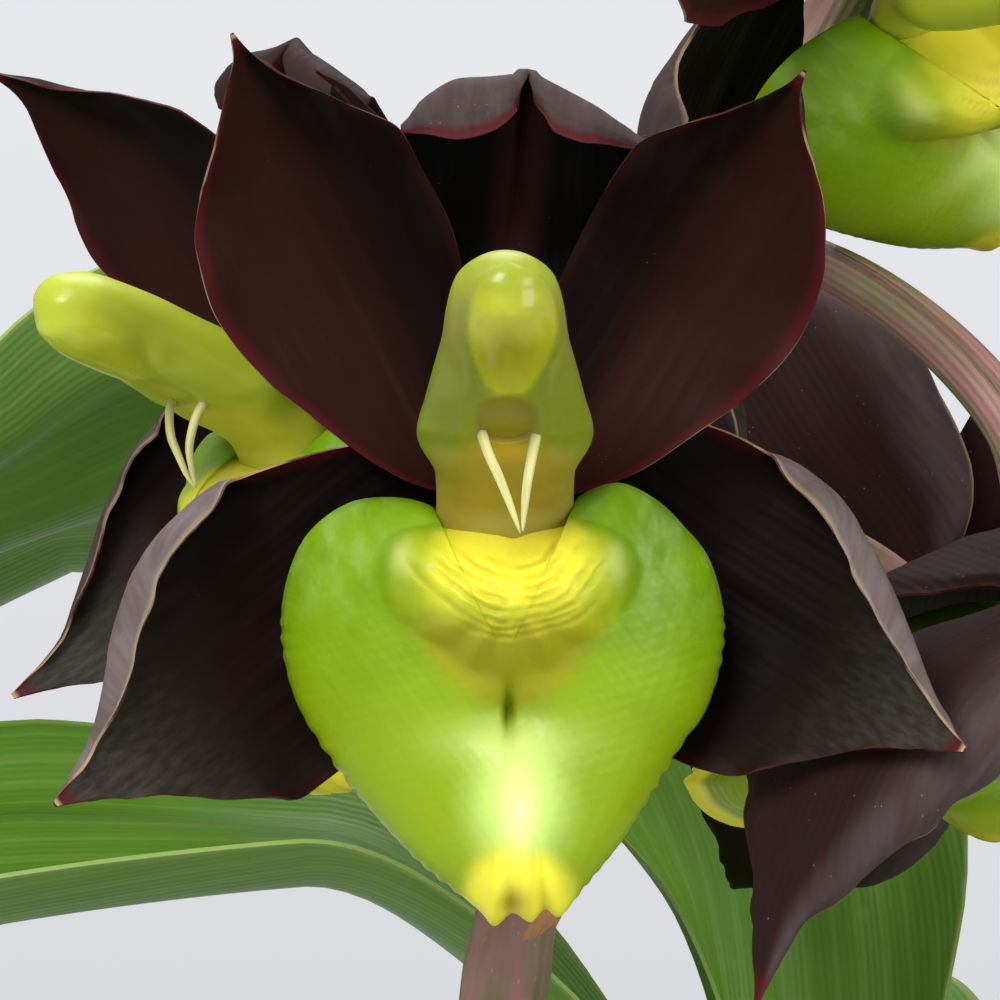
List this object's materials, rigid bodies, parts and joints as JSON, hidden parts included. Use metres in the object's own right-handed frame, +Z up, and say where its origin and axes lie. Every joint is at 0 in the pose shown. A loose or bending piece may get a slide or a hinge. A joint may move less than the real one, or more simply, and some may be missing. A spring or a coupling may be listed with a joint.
{
  "type": "potted catasetum tenebrosum",
  "caption": "Orchid in a round clay pot of moss: swollen ringed stems, pleated arching leaves and a spray of dark flowers with heart-shaped green lips.",
  "frame": {"origin": "middle of the pot's flat underside", "axes": "+Z up out of the pot; -Y towards the side that the first flower faces"},
  "size_m": [0.2806, 0.2118, 0.3328],
  "materials": {
    "clay": "matte",
    "moss": "matte",
    "bulb": "satin",
    "leaf": "satin",
    "stem": "satin",
    "tepal": "satin",
    "lip": "satin",
    "column": "satin",
    "bud": "satin"
  },
  "bodies": {
    "root": {"pot": "clay", "moss": "moss", "bulb_1": "bulb", "bulb_2": "bulb", "bulb_3": "bulb", "bulb_4": "bulb", "leaf_1": "leaf", "leaf_2": "leaf", "leaf_3": "leaf", "leaf_4": "leaf", "leaf_5": "leaf", "leaf_6": "leaf", "leaf_7": "leaf", "flower_1_tepals": "tepal", "flower_1_lip": "lip", "flower_1_column": "column", "flower_2_tepals": "tepal", "flower_2_lip": "lip", "flower_2_column": "column", "flower_3_tepals": "tepal", "flower_3_lip": "lip", "flower_3_column": "column", "flower_4_tepals": "tepal", "flower_4_lip": "lip", "flower_4_column": "column", "flower_5_tepals": "tepal", "flower_5_lip": "lip", "flower_5_column": "column", "flower_6_tepals": "tepal", "flower_6_lip": "lip", "flower_6_column": "column", "flower_7_tepals": "tepal", "flower_7_lip": "lip", "flower_7_column": "column", "flower_stem": "stem", "bud_1": "bud", "bud_2": "bud", "bud_3": "bud"}
  },
  "joints": []
}
